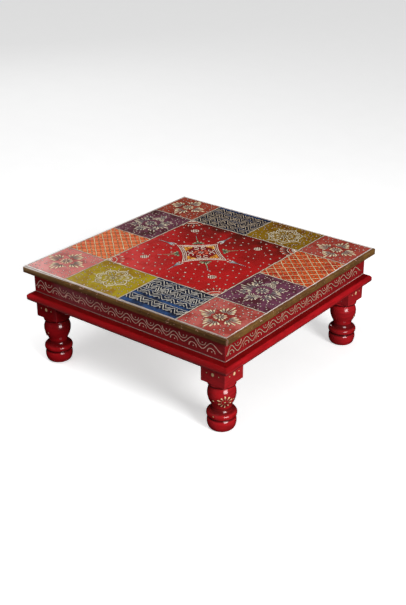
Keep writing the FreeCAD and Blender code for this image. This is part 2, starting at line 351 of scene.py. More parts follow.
def make_lacquer(name, main, second, wear_and_shade_colour, shine, gloss, grooves=()):
    """Crimson lacquer, streaky along the wood and rubbed in places, and bare wood inside the frame."""
    p = Paint(name)
    x, y, z = p.x, p.y, p.z
    streak = p.noise(22, 4, 0.55, stretch=(1, 1, 0.12), low=0.25, high=0.75, seed=11.0)
    clouds = p.noise(34, seed=12.0)
    fine = p.noise(1.6, 3, 0.6, seed=13.0)
    tone = streak * 0.5 + clouds * 0.4 + fine * 0.1
    p.colour = p.mix(tone.ramp(0.2, 0.85), main, second)
    worn = p.noise(4, 4, 0.7, low=0.62, high=0.7, seed=14.0) * p.noise(40, 2, low=0.5, seed=15.0)
    p.coat(worn * 0.6, wear_and_shade_colour)
    out = x.abs().most(y.abs())
    p.coat(band(out, APRON_HALF + 0.3, MOULDING_HALF - 4.5) * 0.8, (0.33, 0.002, 0.003, 1))
    # Painted shade: the left legs are darker, most of all above the foot
    left_leg_shade = x.ramp(-135, -110, 0.66, 0.0) * z.fall(MOULDING_BOTTOM - 1, MOULDING_BOTTOM)
    p.coat(left_leg_shade * z.ramp(20, 76, 0.3, 1.0), (0.2, 0.002, 0.004, 1))
    # Darker in the grooves: glaze along the moulding's top, and on the legs glaze with painted shade
    for z_low, z_high, soft, strength in grooves:
        glaze_and_shade = z.ramp(z_low - soft, z_low) * z.fall(z_high, z_high + soft)
        p.coat(glaze_and_shade * (strength * (0.75 + streak * 0.25)), wear_and_shade_colour)
    # Painted reflection: a milky sheen on the right-hand legs, strongest on the blocks
    painted_sheen = z.ramp(69, 75, 0.35, 1.0) * z.fall(100, 104) * x.ramp(-100, 60, 0.0, 1.0)
    p.coat(painted_sheen * (0.02 + clouds * 0.02), srgb(190, 160, 160))
    # The moulding's nose is dusty with a painted sheen, twice as strong on the front, and the front apron has
    # a painted reflection to the left
    dust_and_sheen = out.ramp(MOULDING_HALF - 4, MOULDING_HALF - 1) * z.ramp(106, 110, 1.0, 0.1)
    front = (y < 4 - MOULDING_HALF) * z.ramp(MOULDING_BOTTOM, MOULDING_BOTTOM + 1)
    # Painted shade: the front moulding's nose is darker, apart from its left end
    p.coat(front * x.ramp(-186, -150) * z.ramp(106, 112, 0.4, 0.65), (0.26, 0.002, 0.003, 1))
    p.coat(dust_and_sheen * (front + 1) * (0.03 + clouds * 0.05), srgb(200, 150, 150))
    # Painted reflection: the front apron is lighter and pinker towards its left
    bloom = (y < 1 - APRON_HALF) * x.ramp(-150, -125) * x.ramp(-95, -20, 1.0, 0.15)
    bloom = bloom * z.ramp(TOP - 40, TOP - 24, 0.45, 1.0) * (out < APRON_HALF + 0.2)
    p.coat(bloom * 0.17, srgb(210, 166, 178))
    rough = shine + clouds * 0.06 + fine * 0.03 + worn * 0.2
    inside = out.fall(APRON_INNER - 0.4, APRON_INNER + 0.4)
    inside = inside * z.ramp(MOULDING_BOTTOM - 0.5, MOULDING_BOTTOM + 0.5)
    grain = p.noise(3.2, 4, 0.62, stretch=(1, 1, 10), seed=16.0)
    bare = p.mix(grain, srgb(174, 130, 86), srgb(124, 82, 48))
    p.coat(inside, bare)
    rough = rough + inside * 0.4
    relief = streak * 0.65 + fine * 0.1 + clouds * 0.25
    return p.finish(p.colour, rough.clamped(), relief, 0.03, Specular_IOR_Level=0.25 + 0.2 * gloss,
                    Coat_Weight=0.9 * gloss * gloss, Coat_Roughness=0.09)


def make_bare_wood():
    p = Paint("bare_wood")
    along_x = p.noise(3.0, 4, 0.62, stretch=(13, 1, 1), seed=17.0)
    along_y = p.noise(3.0, 4, 0.62, stretch=(1, 13, 1), seed=18.0)
    ring = p.noise(11, 2, 0.5, stretch=(9, 9, 1), seed=19.0)
    sideways = (p.x.abs() - p.y.abs()).ramp(-2, 2)
    grain = along_x * (1 - sideways) + along_y * sideways
    colour = p.mix((grain * 0.7 + ring * 0.3).ramp(0.2, 0.8), srgb(180, 136, 90), srgb(120, 80, 46))
    return p.finish(colour, 0.62 + grain * 0.16, grain, 0.12, Specular_IOR_Level=0.3)


def make_steel():
    p = Paint("zinc_steel")
    cloud = p.noise(2.5, 3, 0.6, seed=20.0)
    colour = p.mix(cloud, srgb(196, 196, 188), srgb(150, 150, 142))
    return p.finish(colour, 0.28 + cloud * 0.2, cloud, 0.02, Metallic=1.0)


board_paint = make_board_paint()
frame_lacquer = make_lacquer("crimson_frame", (0.49, 0.009, 0.014, 1), (0.31, 0.005, 0.008, 1),
                             (0.05, 0.001, 0.0015, 1), 0.17, 1.0,
                             ((MOULDING_TOP - 3.0, MOULDING_TOP + 1, 0.5, 0.65), (70.0, 72.4, 1.4, 0.97),
                              (30.5, 35.0, 3.0, 0.8), (18.8, 21.2, 2.2, 0.93)))
apron_lacquer = make_lacquer("crimson_apron", (0.31, 0.012, 0.014, 1), (0.23, 0.008, 0.011, 1),
                             (0.10, 0.006, 0.006, 1), 0.2, 0.4)
bare_wood = make_bare_wood()
steel = make_steel()
wear("top_board", board_paint)
for side in SIDES:
    wear("apron_" + side, apron_lacquer)
    wear("moulding_" + side, frame_lacquer)
    wear("cleat_" + side, bare_wood)
for corner in CORNERS:
    wear("leg_" + corner, frame_lacquer)
wear("centre_batten", bare_wood)
for screws in ("board_screws", "cleat_screws", "leg_screws", "moulding_screws"):
    wear(screws, steel)


# Raised paint

def on_top(points, rise):
    return np.c_[points.real, points.imag, TOP + rise]


def on_apron(side):
    """The face of one apron: the first coordinate runs along it, the second is the height above the floor."""
    turn = SIDES.index(side) * math.pi / 2
    cos_t, sin_t = math.cos(turn), math.sin(turn)

    def place(points, rise):
        out = -(APRON_HALF + rise)
        return np.c_[points.real * cos_t - out * sin_t, points.real * sin_t + out * cos_t, points.imag]
    return place


class Relief:
    """Raised paint gathered into one mesh: low closed strokes and dots. A point is a complex number."""

    # The skirt round each stroke and dot carries the dark glaze and painted shade at its foot
    SINK, GLAZE_WIDTH, GLAZE_RISE = 0.02, 0.8, 0.05
    # How far a round end reaches past the path, and how narrow and low it gets, as shares
    CAP, TAPER = 0.42, 0.45
    ACROSS = np.array((-0.5, -0.5, -0.36, 0.0, 0.36, 0.5, 0.5))
    LEVELS = np.array((0.0, 0.35, 0.85, 1.0, 0.85, 0.35, 0.0))

    def __init__(self, place=on_top):
        self.place = place
        self.points, self.faces, self.levels = [], [], []
        self.count = 0

    def add(self, points, rise, level, faces):
        self.points.append(self.place(points, rise))
        self.levels.append(level)
        self.faces += [tuple(i + self.count for i in face) for face in faces]
        self.count += len(points)

    def stroke(self, path, width, rise=0.3, shade=1.0):
        """A round-ended stroke; width, rise and shade are numbers or have one value for each point."""
        path = np.asarray(path, complex)
        shade = np.broadcast_to(np.asarray(shade, float), len(path))
        shade = np.r_[shade[0], shade, shade[-1]]
        width = np.broadcast_to(np.asarray(width, float), len(path))
        rise = np.broadcast_to(np.asarray(rise, float), len(path))
        ahead = np.gradient(path)
        ahead = ahead / (np.abs(ahead) + 1e-9)
        path = np.r_[path[0] - ahead[0] * width[0] * self.CAP, path,
                     path[-1] + ahead[-1] * width[-1] * self.CAP]
        ahead = np.r_[ahead[0], ahead, ahead[-1]]
        width = np.r_[width[0] * self.TAPER, width, width[-1] * self.TAPER]
        rise = np.r_[rise[0] * self.TAPER, rise, rise[-1] * self.TAPER]
        n, m = len(path), len(self.ACROSS)
        spread = width[:, None] * self.ACROSS
        spread[:, 0] -= self.GLAZE_WIDTH
        spread[:, -1] += self.GLAZE_WIDTH
        flat = path[:, None] + 1j * ahead[:, None] * spread
        foot = np.full(n, -self.SINK)
        edge = np.full(n, self.GLAZE_RISE)
        lift = np.stack([foot, edge, rise * 0.72, rise, rise * 0.72, edge, foot], 1)
        faces = [(i * m + j, i * m + m + j, i * m + m + (j + 1) % m, i * m + (j + 1) % m)
                 for i in range(n - 1) for j in range(m)]
        faces += [tuple(range(m)), tuple(range(n * m - 1, n * m - m - 1, -1))]
        self.add(flat.ravel(), lift.ravel(), (shade[:, None] * self.LEVELS).ravel(), faces)

    def dot(self, centre, radius, rise=0.35, squash=1.0, turn=0.0, sides=8):
        """A low dome, round or oval."""
        angles = np.linspace(0, 2 * math.pi, sides, endpoint=False)
        ring = (np.cos(angles) + 1j * np.sin(angles) * squash) * polar(radius, turn)
        skirt = ring * (1 + self.GLAZE_WIDTH / radius)
        points = np.r_[skirt, ring, ring * 0.72, 0] + centre
        lift = np.r_[np.repeat((-self.SINK, self.GLAZE_RISE, rise * 0.74), sides), rise]
        level = np.r_[np.zeros(sides), np.full(sides, 0.35), np.full(sides, 0.9), 1.0]
        faces = [tuple(range(sides - 1, -1, -1))]
        for i in range(sides):
            k = (i + 1) % sides
            faces += [(i, k, sides + k, sides + i), (sides + i, sides + k, 2 * sides + k, 2 * sides + i),
                      (2 * sides + i, 2 * sides + k, 3 * sides)]
        self.add(points, lift, level, faces)

    def drop(self, base, tip, width, rise=0.4, bow=0.0):
        """A petal laid with one dab of the cone: thin at its base and fat near its tip."""
        shape = np.array((0.26, 0.38, 0.58, 0.82, 1.0, 0.92))
        self.stroke(bowed(base, tip, bow, 6), shape * width * uneven(0.08), (0.45 + 0.55 * shape) * rise,
                    (0.42, 0.46, 0.57, 0.78, 0.97, 1.0))

    def rosette(self, centre, inner, outer, petals, width, turn=0.0, rise=0.4):
        for k in range(petals):
            angle = turn + 360 * k / petals + chance.gauss(0, 2.0)
            tip = centre + polar(outer * uneven(0.06), angle)
            self.drop(centre + polar(inner, angle), tip, width, rise)

    def fan(self, base, heading, reach, width, spread=(0, 21, 44, 70)):
        """A pointed spray of drops from one base, the middle one the longest."""
        for angle, share in zip(spread, (1.0, 0.8, 0.66, 0.55)):
            for way in ((0,) if angle == 0 else (-1, 1)):
                start = base + polar(0.16 * reach, heading + way * angle)
                length = reach * share * uneven(0.05)
                tip = base + polar(length, heading + way * angle + chance.gauss(0, 1.5))
                self.drop(start, tip, width * uneven(0.08), 0.42, bow=way * 0.05)

    def finish(self, name, material):
        mesh = bpy.data.meshes.new(name)
        mesh.from_pydata((np.concatenate(self.points) * MM).tolist(), [], self.faces)
        level = mesh.attributes.new("level", "FLOAT", "POINT")
        level.data.foreach_set("value", np.concatenate(self.levels).astype(np.float32))
        mesh.polygons.foreach_set("use_smooth", [True] * len(mesh.polygons))
        mesh.materials.append(material)
        piece = bpy.data.objects.new(name, mesh)
        bpy.context.scene.collection.objects.link(piece)
        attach(piece, "root")


chance = random.Random(7)
WOBBLE_LENGTH = 6.0


def uneven(amount):
    """A factor near 1, for the unevenness of a hand."""
    return min(1.35, max(0.65, chance.gauss(1, amount)))


def polar(radius, degrees):
    return radius * complex(math.cos(math.radians(degrees)), math.sin(math.radians(degrees)))


def bowed(start, end, bow=0.0, n=7):
    """Points from start to end; bow is how far the middle lies to the left, as a share of the length."""
    t = np.linspace(0, 1, n)
    return start + (end - start) * (t + 4j * bow * t * (1 - t))


def ring_arc(centre, radius, start, end, n=10):
    return centre + radius * np.exp(1j * np.radians(np.linspace(start, end, n)))


def wobbly(start, end, sway=0.28):
    """A hand-drawn straight line."""
    n = max(2, int(abs(end - start) / WOBBLE_LENGTH) + 1)
    drift = np.array([chance.gauss(0, sway) for _ in range(n)])
    return np.linspace(start, end, n) + 1j * (end - start) / abs(end - start) * drift


def clipped(point, heading, x_low, x_high, y_low, y_high):
    """The two ends of the line through the point, where it leaves the rectangle, or None."""
    lengths = [-1e6, 1e6]
    way = polar(1, heading)
    for at, go, low, high in ((point.real, way.real, x_low, x_high), (point.imag, way.imag, y_low, y_high)):
        ends = sorted(((low - at) / go, (high - at) / go))
        lengths = [max(lengths[0], ends[0]), min(lengths[1], ends[1])]
    return (point + way * lengths[0], point + way * lengths[1]) if lengths[1] - lengths[0] > 2.5 else None


def sprinkle(relief, x_low, x_high, y_low, y_high, spacing, taken, radius, jitter=0.2, rise=0.32):
    """Dots over a rectangle, left out where taken(point) is true."""
    columns = max(1, round((x_high - x_low) / spacing))
    rows = max(1, round((y_high - y_low) / spacing))
    for i in range(columns):
        for j in range(rows):
            shift = 0.25 if j % 2 else -0.25
            x = x_low + (i + 0.5 + shift + chance.gauss(0, jitter)) * (x_high - x_low) / columns
            y = y_low + (j + 0.5 + chance.gauss(0, jitter)) * (y_high - y_low) / rows
            inside = x_low + 1.5 < x < x_high - 1.5 and y_low + 1.5 < y < y_high - 1.5
            if inside and not taken(complex(x, y)):
                relief.dot(complex(x, y), radius * uneven(0.14), rise, sides=7)


def raised_paint(name, main, second, base, glaze_and_shade, front_tint_span=None, front_tint=None):
    """Thick paint: clean on the crests, thinner and greyer at a petal's base, dark round its foot with glaze
    and painted shade.

    Colours are in screen values. front_tint dulls it along the front, front_tint_span says between which x
    and from which amount to which.
    """
    p = Paint(name + "_paint")
    level = p.attribute("level")
    cloud = p.noise(12, 3, 0.6, seed=30.0)
    fine = p.noise(1.1, 2, 0.6, seed=31.0)
    p.colour = p.mix((cloud * 0.6 + fine * 0.4).ramp(0.2, 0.85), srgb(*main), srgb(*second))
    if front_tint_span:
        p.coat(p.x.ramp(*front_tint_span) * (p.y < 12 - BOARD_HALF), srgb(*front_tint))
    p.coat(level.ramp(0.48, 0.93, 0.9, 0.0), srgb(*base))
    # Glaze and painted shade: dark round the foot of each stroke and dot
    p.coat(level.ramp(0.12, 0.42, 0.95, 0.0), srgb(*glaze_and_shade))
    return p.finish(p.colour, 0.5 + fine * 0.15, fine, 0.05, Specular_IOR_Level=0.35)


cream = raised_paint("cream", (244, 226, 186), (222, 198, 150), (142, 132, 124), (76, 30, 26))
pearl = raised_paint("pearl", (228, 218, 194), (186, 176, 150), (150, 138, 112), (80, 60, 14))
line = raised_paint("line", (220, 210, 190), (180, 168, 148), (140, 128, 114), (56, 32, 28))
# The edge lines are cream paint; along the front they are whitest to the left and duller to the right, a
# painted highlight
edge = raised_paint("edge", (238, 230, 226), (206, 194, 186), (176, 160, 150), (134, 110, 94),
                    front_tint_span=(-120, 20, 0.0, 0.55), front_tint=(112, 94, 84))
pale = raised_paint("pale", (228, 212, 196), (182, 166, 150), (130, 112, 104), (50, 24, 28))
grey = raised_paint("grey_cream", (220, 212, 194), (162, 156, 146), (112, 112, 118), (12, 14, 24))
grey_back = raised_paint("grey_back", (216, 194, 164), (154, 136, 116), (104, 92, 84), (14, 14, 20))
plum = raised_paint("plum_cell", (234, 216, 180), (180, 170, 150), (128, 124, 126), (46, 20, 28))
# Pink and tan are one vine paint in two tones: painted light on the front and back aprons, painted shade on
# the side aprons
pink = raised_paint("pink_cream", (252, 196, 180), (226, 166, 150), (166, 96, 84), (74, 6, 8))
tan = raised_paint("tan_cream", (206, 176, 150), (172, 140, 116), (146, 92, 78), (88, 8, 10))
lilac = raised_paint("lilac_line", (212, 172, 164), (180, 138, 130), (146, 90, 86), (80, 6, 8),
                     front_tint_span=(-190, 40, 0.75, 0.1), front_tint=(130, 56, 52))
frame_cream = raised_paint("frame_cream", (252, 212, 164), (238, 190, 140), (196, 130, 102),
                           (110, 8, 10))
star = raised_paint("star", (244, 228, 208), (212, 190, 170), (160, 134, 122), (58, 18, 22))
mesh_paint = raised_paint("lattice", (238, 208, 162), (200, 164, 122), (160, 112, 78), (112, 36, 18))
hair = raised_paint("hairline", (186, 134, 88), (150, 88, 52), (146, 72, 38), (124, 40, 18))
gold = raised_paint("gold", (240, 180, 52), (212, 134, 28), (170, 92, 26), (66, 22, 12))
green = raised_paint("green", (186, 194, 150), (128, 142, 108), (84, 92, 72), (40, 22, 20))
slate = raised_paint("slate", (202, 206, 200), (142, 152, 156), (104, 106, 112), (42, 20, 26))
coral = raised_paint("coral", (240, 122, 88), (218, 88, 62), (160, 50, 40), (74, 12, 14))


def draw_borders():
    inner, outer = Relief(), Relief()

    def rule(x_from, y_from, x_to, y_to, width=1.5):
        path = wobbly(complex(x_from, y_from), complex(x_to, y_to))
        inner.stroke(path, [width * uneven(0.12) for _ in path], 0.33)

    for at in (LINE_LEFT, LINE_RIGHT):
        rule(at, -ARRIS_LINE, at, ARRIS_LINE)
    for at in (LINE_FRONT, LINE_BACK):
        rule(-ARRIS_LINE, at, ARRIS_LINE, at)
    rule(SPLIT_FRONT, -ARRIS_LINE, SPLIT_FRONT, LINE_FRONT, 1.4)
    rule(SPLIT_BACK, LINE_BACK, SPLIT_BACK, ARRIS_LINE, 1.4)
    rule(-ARRIS_LINE, SPLIT_LEFT, LINE_LEFT, SPLIT_LEFT, 1.4)
    rule(LINE_RIGHT, SPLIT_RIGHT, ARRIS_LINE, SPLIT_RIGHT, 1.4)
    corner = complex(ARRIS_LINE, ARRIS_LINE)
    # The front line widens towards the left, partly as a painted highlight on the arris
    for start, end in ((1.5, 1.5), (1.5, 1.5), (3.4, 1.6), (1.3, 1.3)):
        path = wobbly(corner, corner * 1j, sway=0.15)
        outer.stroke(path, [width * uneven(0.12) for width in np.linspace(start, end, len(path))], 0.33)
        corner *= 1j
    inner.finish("border_lines", line)
    outer.finish("edge_lines", edge)


def draw_corner_sprays():
    sprays = Relief()
    dots = Relief()
    for centre in CORNER_CENTRES:
        sprays.rosette(centre, 2.6, 8.8, 11, 2.5, turn=chance.uniform(0, 36), rise=0.42)
        sprays.dot(centre, 1.5, 0.42)
        for k in range(4):
            sprays.fan(centre + polar(11.4, 90 * k), 90 * k + chance.gauss(0, 2), 23.2, 3.0, (0, 18, 38, 60))
        x_low, x_high = (LINE_RIGHT, BOARD_HALF - 2) if centre.real > 0 else (-BOARD_HALF + 2, LINE_LEFT)
        y_low, y_high = (LINE_BACK, BOARD_HALF - 2) if centre.imag > 0 else (-BOARD_HALF + 2, LINE_FRONT)

        def taken(at):
            dx, dy = abs(at.real - centre.real), abs(at.imag - centre.imag)
            return min(dx, dy) < 13 and max(dx, dy) < 37 or abs(at - centre) < 17
        sprinkle(dots, x_low + 2, x_high - 2, y_low + 2, y_high - 2, 7.8, taken, 1.1)
    sprays.finish("corner_sprays", cream)
    return dots


def draw_mandalas(dots):
    rings = Relief()
    for centre, cell in ((complex(-54.7, -141.1), (LINE_LEFT, SPLIT_FRONT, -BOARD_HALF + 2, LINE_FRONT)),
                         (complex(53.7, 146.1), (SPLIT_BACK, LINE_RIGHT, LINE_BACK, BOARD_HALF - 2))):
        lobes = 7
        headings = [360 * k / lobes + 38 for k in range(lobes)]
        for reach, lobe, width in ((19.4, 8.5, 1.5), (18.6, 5.0, 1.0)):
            for angle in headings:
                middle = centre + polar(reach, angle)
                petal = ring_arc(middle, lobe * uneven(0.05), angle - 108, angle + 108, 12)
                rings.stroke(petal, width, 0.38)
        for angle in headings:
            rings.drop(centre + polar(16.8, angle), centre + polar(21.0, angle), 2.4)
            rings.dot(centre + polar(17.4, angle + 26), 1.2, 0.38)
            rings.dot(centre + polar(26.0, angle + 26), 1.3, 0.36)
            rings.stroke(bowed(centre + polar(29.6, angle), centre + polar(33.2, angle)), 1.3, 0.34)
        rings.rosette(centre, 7.0, 13.6, 14, 2.0, turn=12)
        rings.rosette(centre, 1.2, 5.4, 8, 1.8)
        sprinkle(dots, cell[0] + 2, cell[1] - 2, cell[2] + 1, cell[3] - 2, 7.6,
                 lambda at: abs(at - centre) < 31, 1.0, jitter=0.24)
    rings.finish("olive_mandalas", pearl)


def draw_florals(dots):
    plants = Relief()
    for centre, cell in ((complex(142.8, -43.5), (LINE_RIGHT, BOARD_HALF - 2, LINE_FRONT, SPLIT_RIGHT)),
                         (complex(-152.6, 57.3), (-BOARD_HALF + 2, LINE_LEFT, SPLIT_LEFT, LINE_BACK))):
        plants.rosette(centre, 2.8, 9.4, 11, 2.4, turn=8)
        plants.dot(centre, 1.6, 0.42)
        bloom = centre + polar(19.5, 92)
        for radius in (4.0, 6.6, 9.0):
            plants.stroke(ring_arc(bloom, radius, -28, 208, 12), 1.05, 0.34)
        plants.rosette(bloom, 0.6, 3.0, 5, 1.5)
        plants.fan(bloom + polar(10.5, 90), 90, 9, 1.9, spread=(0, 30, 60))
        for heading in (0, 180):
            plants.fan(centre + polar(12.5, heading), heading + chance.gauss(0, 4), 23, 2.6)
        shell = centre + polar(13.5, 270)
        for radius in (4.5, 7.5, 10.5):
            plants.stroke(ring_arc(shell, radius, 200, 340, 9), 1.15, 0.36)
        plants.fan(shell + polar(8.5, 270), 270, 16.5, 2.2, spread=(0, 24, 48, 70))
        for k, angle in enumerate((40, 138, 222, 316)):
            root = centre + polar(15.5, angle)
            plants.stroke(bowed(root, root + polar(9, angle + 6), 0.12), 0.95, 0.3)
            plants.fan(root + polar(7, angle), angle + (-14, 14, -8, 8)[k], 13.5, 2.1, spread=(0, 32, 64))
            for way in (1, -1):
                plants.drop(root + polar(2, angle + 70 * way), root + polar(7.5, angle + 52 * way), 1.9)

        def taken(at):
            away = at - centre
            return abs(away.real) + abs(away.imag) < 48 and abs(away) < 37
        sprinkle(dots, cell[0] + 2, cell[1] - 2, cell[2] + 2, cell[3] - 2, 7.4, taken, 1.05, jitter=0.26)
    plants.finish("purple_florals", plum)


def draw_lattices():
    thick, thin = Relief(), Relief()
    pitch, falling, rising = 14.4, -42.5, 44.0
    for x_low, x_high, y_low, y_high, knot in (
            (LINE_RIGHT, ARRIS_LINE, SPLIT_RIGHT, LINE_BACK, complex(154.5, 53.0)),
            (-ARRIS_LINE, LINE_LEFT, LINE_FRONT, SPLIT_LEFT, complex(-159.2, -30.4))):
        for heading, width, lines, offset in (
                (falling, 1.45, thick, 0.0), (rising, 1.05, thick, 0.0),
                (falling, 0.8, thin, pitch / 2), (rising, 0.8, thin, pitch / 2)):
            for k in range(-9, 10):
                through = knot + polar(pitch * k + offset, heading + 90)
                ends = clipped(through, heading + chance.gauss(0, 0.7), x_low + 0.5, x_high - 0.5,
                               y_low + 0.5, y_high - 0.5)
                if ends:
                    path = wobbly(*ends, sway=0.25)
                    lines.stroke(path, [width * uneven(0.1) for _ in path], 0.34 if width > 1 else 0.22)
        for i in range(-9, 9):
            for j in range(-9, 9):
                at = knot + polar(pitch * (i + 0.5), falling) + polar(pitch * (j + 0.5), falling + 90)
                at += polar(1.0, chance.uniform(0, 360))
                inside = x_low + 3 < at.real < x_high - 3 and y_low + 3 < at.imag < y_high - 3
                if inside and chance.random() < 0.75:
                    thick.dot(at, 1.1 * uneven(0.15), 0.36, sides=7)
    thick.finish("orange_lattices", mesh_paint)
    thin.finish("orange_hairlines", hair)


ZIGZAG_WIDTH = 1.15


def zigzag(lines, x_low, x_high, y_low, y_high, level, leg, wave, swing):
    """A hand-drawn zigzag along X, falling at leg, with softly bent corners, kept between two heights."""
    x = np.linspace(x_low, x_high, int((x_high - x_low) / wave * 14))
    turn = (x - leg) / wave + 0.25
    tooth = np.abs((turn % 1) * 2 - 1) * 2 - 1
    tooth = tooth * 0.86 + 0.14 * np.cos(2 * math.pi * turn)
    path = x + 1j * (level + tooth * swing / 2 + np.array([chance.gauss(0, 0.14) for _ in x]))
    inside = (path.imag > y_low) & (path.imag < y_high)
    start = None
    for i, here in enumerate(list(inside) + [False]):
        if here and start is None:
            start = i
        elif not here and start is not None:
            if i - start > 2:
                lines.stroke(path[start:i], [ZIGZAG_WIDTH * uneven(0.12) for _ in path[start:i]], 0.38)
            start = None


def draw_chevrons():
    """Bands of nested zigzags, with plain blue strips and a straight line between them."""
    for name, paint, x_low, x_high, bands, drawn in (
            ("blue_chevrons_front", grey, SPLIT_FRONT + 1.4, LINE_RIGHT - 1.4, FRONT_BANDS,
             ((23.6, 20.5), (20.7, 22.6), (39.4, 17.3), (38.8, 23.0))),
            ("blue_chevrons_back", grey_back, LINE_LEFT + 1.4, SPLIT_BACK - 1.4, BACK_BANDS,
             ((-60, 19), (-55, 21), (-62, 18), (-50, 20)))):
        lines = Relief()
        for (y_low, y_high), (leg, wave) in zip(bands, drawn):
            middle = (y_low + y_high) / 2
            for level in (-13.6, -6.8, 0, 6.8, 13.6):
                zigzag(lines, x_low, x_high, y_low + 0.4, y_high - 0.4,
                       middle + level + chance.gauss(0, 0.25), leg + chance.gauss(0, 0.3),
                       wave, y_high - y_low - 2.0)
        for _, below in bands[:-1]:
            path = wobbly(complex(x_low, below + 1.9), complex(x_high, below + 1.9), sway=0.3)
            lines.stroke(path, 0.8, 0.3)
        lines.finish(name, paint)


def star_outline(tips, waist, shrink=0.0):
    """A closed four-pointed outline with hollow sides."""
    path = []
    for k in range(4):
        tip = STAR + polar(tips[k] - shrink * 1.9, 90 * k)
        following = STAR + polar(tips[(k + 1) % 4] - shrink * 1.9, 90 * k + 90)
        inner = STAR + polar(waist - shrink, 90 * k + 45)
        t = np.linspace(0, 1, 13)[:-1]
        pull = 2 * inner - (tip + following) / 2
        path.append((1 - t) ** 2 * tip + 2 * t * (1 - t) * pull + t ** 2 * following)
    path = np.concatenate(path)
    return np.r_[path, path[:1]]


def draw_star():
    tips = (48.6, 41.8, 47.6, 46.2)
    outline, leaves, fronds, tassels, bloom = Relief(), Relief(), Relief(), Relief(), Relief()
    for shrink, width in ((0.0, 1.3), (2.6, 0.9), (5.2, 1.1)):
        path = star_outline(tips, 28.4, shrink)
        outline.stroke(path, [width * uneven(0.08) for _ in path], 0.38)
    for k in range(4):
        out = 90 * k
        for angle in (-70, -35, 0, 35, 70):
            base = STAR + polar(22.0, out)
            reach = 10.0 if angle == 0 else 7.4
            leaves.drop(base + polar(1.0, out + angle), base + polar(reach, out + angle), 3.8)
        for way in (-1, 1):
            centre = STAR + polar(17.4, out + way * 25)
            turn = out + 180 - way * 40
            outline.stroke(ring_arc(centre, 3.9, turn - way * 130, turn + way * 130), 1.2, 0.4)
        # A tassel beyond each point
        hung = STAR + polar((0.0, -7.0, -1.0, -5.0)[k], out)
        for way in (-1, 1):
            outline.dot(hung + polar(54.0, out) + polar(2.8, out + 90 * way), 1.7, 0.42)
            tassels.drop(hung + polar(71.0, out + 0.4 * way), hung + polar(57.5, out + 3.4 * way), 2.8,
                         bow=0.03 * way)
        tassels.drop(hung + polar(74.5, out), hung + polar(58.5, out), 2.8, 0.44)
        tassels.stroke(bowed(hung + polar(73.0, out), hung + polar(79.0, out)), 1.1, 0.3)
        for step, radius in ((81.5, 0.95), (85.0, 0.75)):
            tassels.dot(hung + polar(step, out), radius, 0.3)
        # A leafy sprig between the points
        out += 45
        root = STAR + polar(34.2, out) + polar((0, 0, 0, 2.4)[k], 38)
        for angle, length in ((-76, 8.4), (-38, 8.0), (0, 10.5), (38, 8.0), (76, 8.4)):
            fronds.drop(root + polar(1.4, out + angle), root + polar(length, out + angle), 3.3, 0.42)
        fronds.stroke(bowed(root + polar(11, out), root + polar(24, out), 0.03), 0.95, 0.3)
        tassels.stroke(bowed(root + polar(27, out), root + polar(33, out)), 0.9, 0.28)
    bloom.rosette(STAR, 3.4, 10.4, 10, 3.4, turn=12)
    outline.rosette(STAR, 0.8, 3.6, 6, 1.7, turn=12)
    # Striped ovals in the field, and a quarter fan in each of its corners
    for centre in OVALS:
        for k in range(-2, 3):
            half = 5.6 * math.sqrt(1 - (k / 2.4) ** 2)
            middle = centre + polar(2.7 * k, 38)
            outline.stroke(bowed(middle - polar(half, 128), middle + polar(half, 128)), 1.4, 0.4)
    for x, y, heading in ((LINE_LEFT, LINE_FRONT, 45), (LINE_RIGHT, LINE_FRONT, 135),
                          (LINE_RIGHT, LINE_BACK, 225), (LINE_LEFT, LINE_BACK, 315)):
        root = complex(x, y)
        for radius, lines in ((9.0, outline), (13.0, bloom), (16.5, outline)):
            lines.stroke(ring_arc(root, radius, heading - 41, heading + 41), 1.1, 0.33)
        for angle in range(-40, 41, 10):
            lines = bloom if angle % 20 else outline
            lines.drop(root + polar(19.5, heading + angle), root + polar(27.5, heading + angle), 2.0)
            outline.drop(root + polar(2.5, heading + angle), root + polar(7.0, heading + angle), 0.9)
    outline.finish("star_outline", star)
    leaves.finish("gold_leaves", gold)
    fronds.finish("green_sprigs", green)
    tassels.finish("slate_tassels", slate)
    bloom.finish("coral_blooms", coral)


def draw_field_dots(dots):
    def taken(at):
        away = at - STAR
        if abs(away.real) + abs(away.imag) < 52:
            return True
        if min(abs(away.real), abs(away.imag)) < 5 and abs(away) < 92:
            return True
        if abs(abs(away.real) - abs(away.imag)) < 7 and abs(away) < 70:
            return True
        corners = [complex(x, y) for x in (LINE_LEFT, LINE_RIGHT) for y in (LINE_FRONT, LINE_BACK)]
        return min(abs(at - c) for c in OVALS) < 10 or min(abs(at - c) for c in corners) < 31
    sprinkle(dots, LINE_LEFT + 3, LINE_RIGHT - 3, LINE_FRONT + 3, LINE_BACK - 3, 15.0, taken, 1.3,
             jitter=0.14, rise=0.42)


# The vine's crests and hollows along an apron: distance from its middle and depth under the top
VINE_FRONT = (
    (-180, -33.5), (-167, -21.6), (-150.5, -36.0), (-135.5, -24.6), (-120, -35.0), (-108.8, -25.2),
    (-92.5, -34.6), (-82, -25.0), (-65, -34.0), (-50, -23.2), (-35, -33.5), (-22.5, -23.0),
    (-7.3, -33.9), (7.4, -23.2), (22.5, -33.7), (36.8, -23.0), (50.6, -33.6), (65.2, -22.8),
    (79.3, -34.2), (93.5, -23.4), (109.3, -33.4), (126.3, -21.8), (142.1, -33.9), (158, -21.8),
    (177, -31.8))
VINE_RIGHT = (
    (-178.5, -34.0), (-168.7, -22.1), (-152.5, -36.0), (-134.4, -23.2), (-118.6, -35.6), (-105, -24.0),
    (-87.6, -35.2), (-71.9, -23.4), (-54.8, -34.0), (-40.7, -22.8), (-22, -33.6), (-7.5, -23.2),
    (8, -34.0), (22.7, -23.0), (37, -34.2), (49.5, -23.0), (64.5, -34.2), (79, -23.0),
    (99, -34.0), (116, -22.2), (134.2, -34.0), (152, -21.8), (171.5, -33.2))


